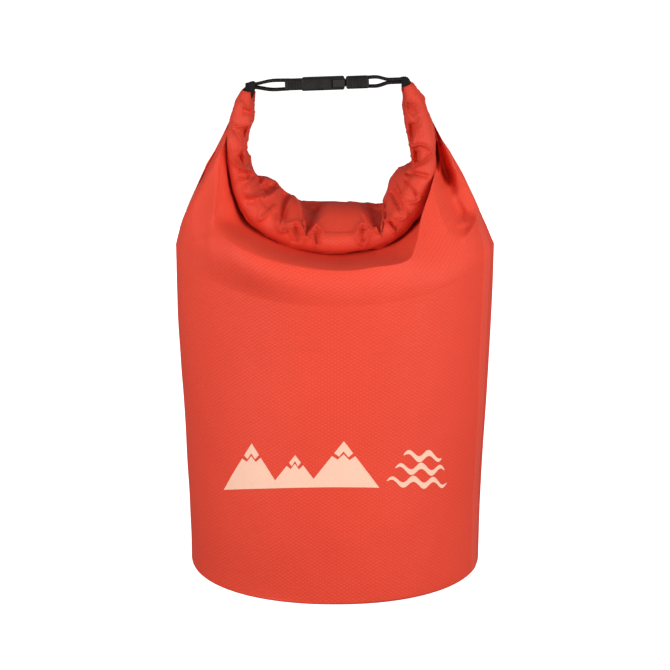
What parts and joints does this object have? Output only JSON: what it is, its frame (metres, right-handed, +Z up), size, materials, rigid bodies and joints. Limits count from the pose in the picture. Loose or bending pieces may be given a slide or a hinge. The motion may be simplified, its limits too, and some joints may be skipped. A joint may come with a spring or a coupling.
{
  "type": "roll-top dry bag",
  "caption": "Soft roll-top dry bag with a round base, standing full, its rolled mouth bent up and buckled into a carrying loop.",
  "frame": {"origin": "centre of the underside of the round base, on the surface that the bag stands on", "axes": "+Z up through the bag, +X along the rolled mouth towards the male half of the buckle, -Y towards the front that the mouth is rolled down over"},
  "size_m": [0.214, 0.2, 0.3371],
  "materials": {
    "coated_fabric": "coated ripstop nylon with a fine diamond weave and a soft satin sheen",
    "base_fabric": "heavier coated nylon, matte",
    "seam_tape": "heat-bonded film tape, satin",
    "black_webbing": "woven polyester webbing, matte",
    "stitching": "dense zigzag bar-tack thread, matte",
    "stiffener_plastic": "translucent plastic strip, satin",
    "buckle_plastic": "moulded acetal, fine satin texture with moulded grip ribs"
  },
  "bodies": {
    "bag_body": {"body_tube": "coated_fabric", "base_panel": "base_fabric", "base_seam_tape": "seam_tape", "side_seam_tape": "seam_tape", "roll_centre": "coated_fabric", "mouth_webbing_centre": "black_webbing", "stiffener_centre": "stiffener_plastic", "gusset_left_ear": "coated_fabric", "gusset_right_ear": "coated_fabric"},
    "left_ear": {"roll_left_ear": "coated_fabric", "mouth_webbing_left_ear": "black_webbing", "stiffener_left_ear": "stiffener_plastic"},
    "right_ear": {"roll_right_ear": "coated_fabric", "mouth_webbing_right_ear": "black_webbing", "stiffener_right_ear": "stiffener_plastic"},
    "left_strap": {"strap_loop_left": "black_webbing", "bar_tack_left": "stitching"},
    "right_strap": {"strap_loop_right": "black_webbing", "bar_tack_right": "stitching"},
    "buckle_female_half": {"buckle_female": "buckle_plastic"},
    "buckle_male_half": {"buckle_male": "buckle_plastic"},
    "front_prong": {"prong_front": "buckle_plastic"},
    "rear_prong": {"prong_rear": "buckle_plastic"}
  },
  "joints": [
    {"name": "right_ear_spread", "type": "hinge", "parent": "bag_body", "child": "right_ear", "pos_m": [0.06246, 0.001, 0.26629], "axis": [0.0036, 0.9945, -0.1045], "range_deg": [0, 28], "deforming": ["gusset_right_ear", "prong_front", "prong_rear"]},
    {"name": "left_ear_spread", "type": "hinge", "parent": "bag_body", "child": "left_ear", "pos_m": [-0.06846, 0.001, 0.26171], "axis": [-0.0036, -0.9945, 0.1045], "range_deg": [0, 28], "deforming": ["gusset_left_ear"]},
    {"name": "right_strap_bend", "type": "hinge", "parent": "right_ear", "child": "right_strap", "pos_m": [0.04784, 0.008, 0.33245], "axis": [-0.0036, -0.9945, 0.1045], "range_deg": [0, 14]},
    {"name": "left_strap_bend", "type": "hinge", "parent": "left_ear", "child": "left_strap", "pos_m": [-0.05849, 0.008, 0.32874], "axis": [0.0036, 0.9945, -0.1045], "range_deg": [0, 14]},
    {"name": "male_half_swivel", "type": "hinge", "parent": "right_strap", "child": "buckle_male_half", "pos_m": [0.02086, 0.008, 0.33151], "axis": [-0.0036, -0.9945, 0.1045], "range_deg": [0, 14]},
    {"name": "female_half_swivel", "type": "hinge", "parent": "left_strap", "child": "buckle_female_half", "pos_m": [-0.03151, 0.008, 0.32968], "axis": [0.0036, 0.9945, -0.1045], "range_deg": [0, 14]},
    {"name": "front_prong_squeeze", "type": "hinge", "parent": "buckle_male_half", "child": "front_prong", "pos_m": [0.00702, -0.00353, 0.33224], "axis": [0.0347, -0.1045, -0.9939], "range_deg": [0, 8], "stiffness_Nm_per_rad": 0.35},
    {"name": "rear_prong_squeeze", "type": "hinge", "parent": "buckle_male_half", "child": "rear_prong", "pos_m": [0.00711, 0.01954, 0.32981], "axis": [-0.0347, 0.1045, 0.9939], "range_deg": [0, 8], "stiffness_Nm_per_rad": 0.35}
  ],
  "couplings": [
    {"joint": "left_ear_spread", "follows": "right_ear_spread", "ratio": 1},
    {"joint": "right_strap_bend", "follows": "right_ear_spread", "ratio": 0.5},
    {"joint": "left_strap_bend", "follows": "right_ear_spread", "ratio": 0.5},
    {"joint": "male_half_swivel", "follows": "right_ear_spread", "ratio": 0.5},
    {"joint": "female_half_swivel", "follows": "right_ear_spread", "ratio": 0.5}
  ]
}
